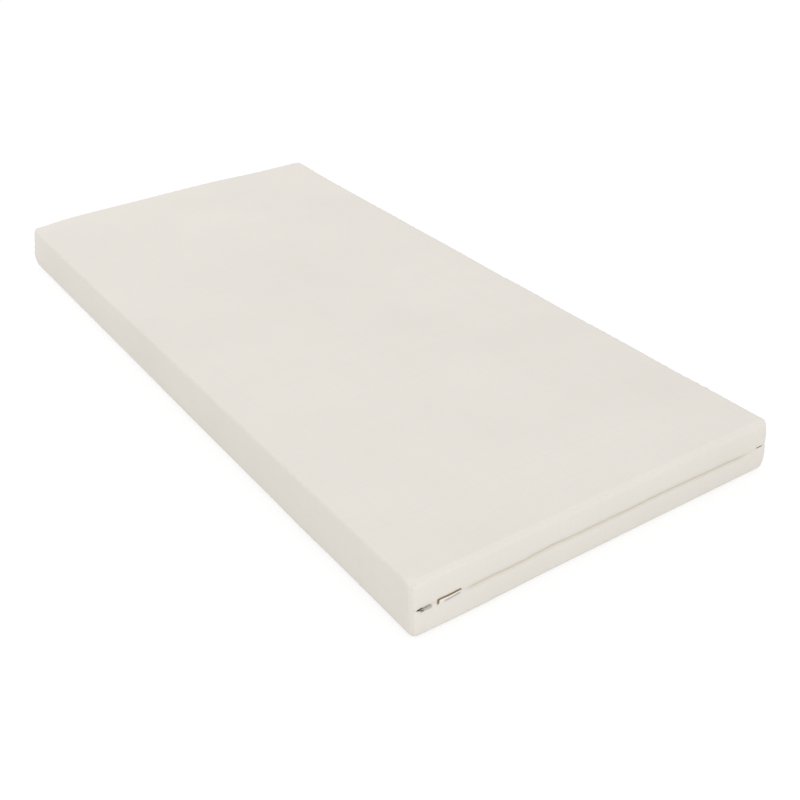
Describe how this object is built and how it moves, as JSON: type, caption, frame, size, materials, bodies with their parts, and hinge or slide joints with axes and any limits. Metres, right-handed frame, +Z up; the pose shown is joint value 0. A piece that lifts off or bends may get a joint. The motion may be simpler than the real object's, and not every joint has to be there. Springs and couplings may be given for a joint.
{
  "type": "latex mattress",
  "caption": "Flat boxed junior bed mattress: a pin-hole latex core in an inner sleeve and an unbleached cotton cover closed by a zip along one end and one side.",
  "frame": {"origin": "middle of the underside, on the surface the mattress lies on", "axes": "+X along the length towards the zipped short end, +Y across the width towards the zipped long side, +Z up"},
  "size_m": [1.5042, 0.7, 0.1],
  "materials": {
    "cotton": "unbleached plain-woven cotton, matt",
    "latex": "natural latex foam, cream, matt",
    "stockinette": "fine white cotton knit",
    "zip_tape": "woven tape, off-white",
    "zip_coil": "coiled monofilament, warm grey",
    "zip_metal": "dull nickel-plated die casting",
    "label": "white woven tape with a tan edge, bare"
  },
  "bodies": {
    "mattress": {"latex_core": "latex", "inner_sleeve": "stockinette", "cover_top_panel": "cotton", "cover_bottom_panel": "cotton", "cover_plain_side_border": "cotton", "cover_plain_end_border": "cotton", "cover_zip_end_upper_border": "cotton", "cover_zip_end_lower_border": "cotton", "cover_zip_side_upper_border": "cotton", "cover_zip_side_lower_border": "cotton", "zip_tape_upper": "zip_tape", "zip_tape_lower": "zip_tape", "zip_coil_upper": "zip_coil", "zip_coil_lower": "zip_coil", "zip_top_stop_upper": "zip_metal", "zip_top_stop_lower": "zip_metal", "zip_bottom_stop": "zip_metal", "side_label": "label"},
    "slider": {"zip_slider": "zip_metal"},
    "pull_tab": {"zip_pull_tab": "zip_metal"}
  },
  "joints": [
    {"name": "zip_slide", "type": "slide", "parent": "mattress", "child": "slider", "axis": [0, 1, 0], "range_m": [0, 0.669]},
    {"name": "pull_tab_swing", "type": "hinge", "parent": "slider", "child": "pull_tab", "pos_m": [0.7522, -0.3351, 0.0505], "axis": [0, 0, -1], "range_deg": [0, 175]}
  ]
}
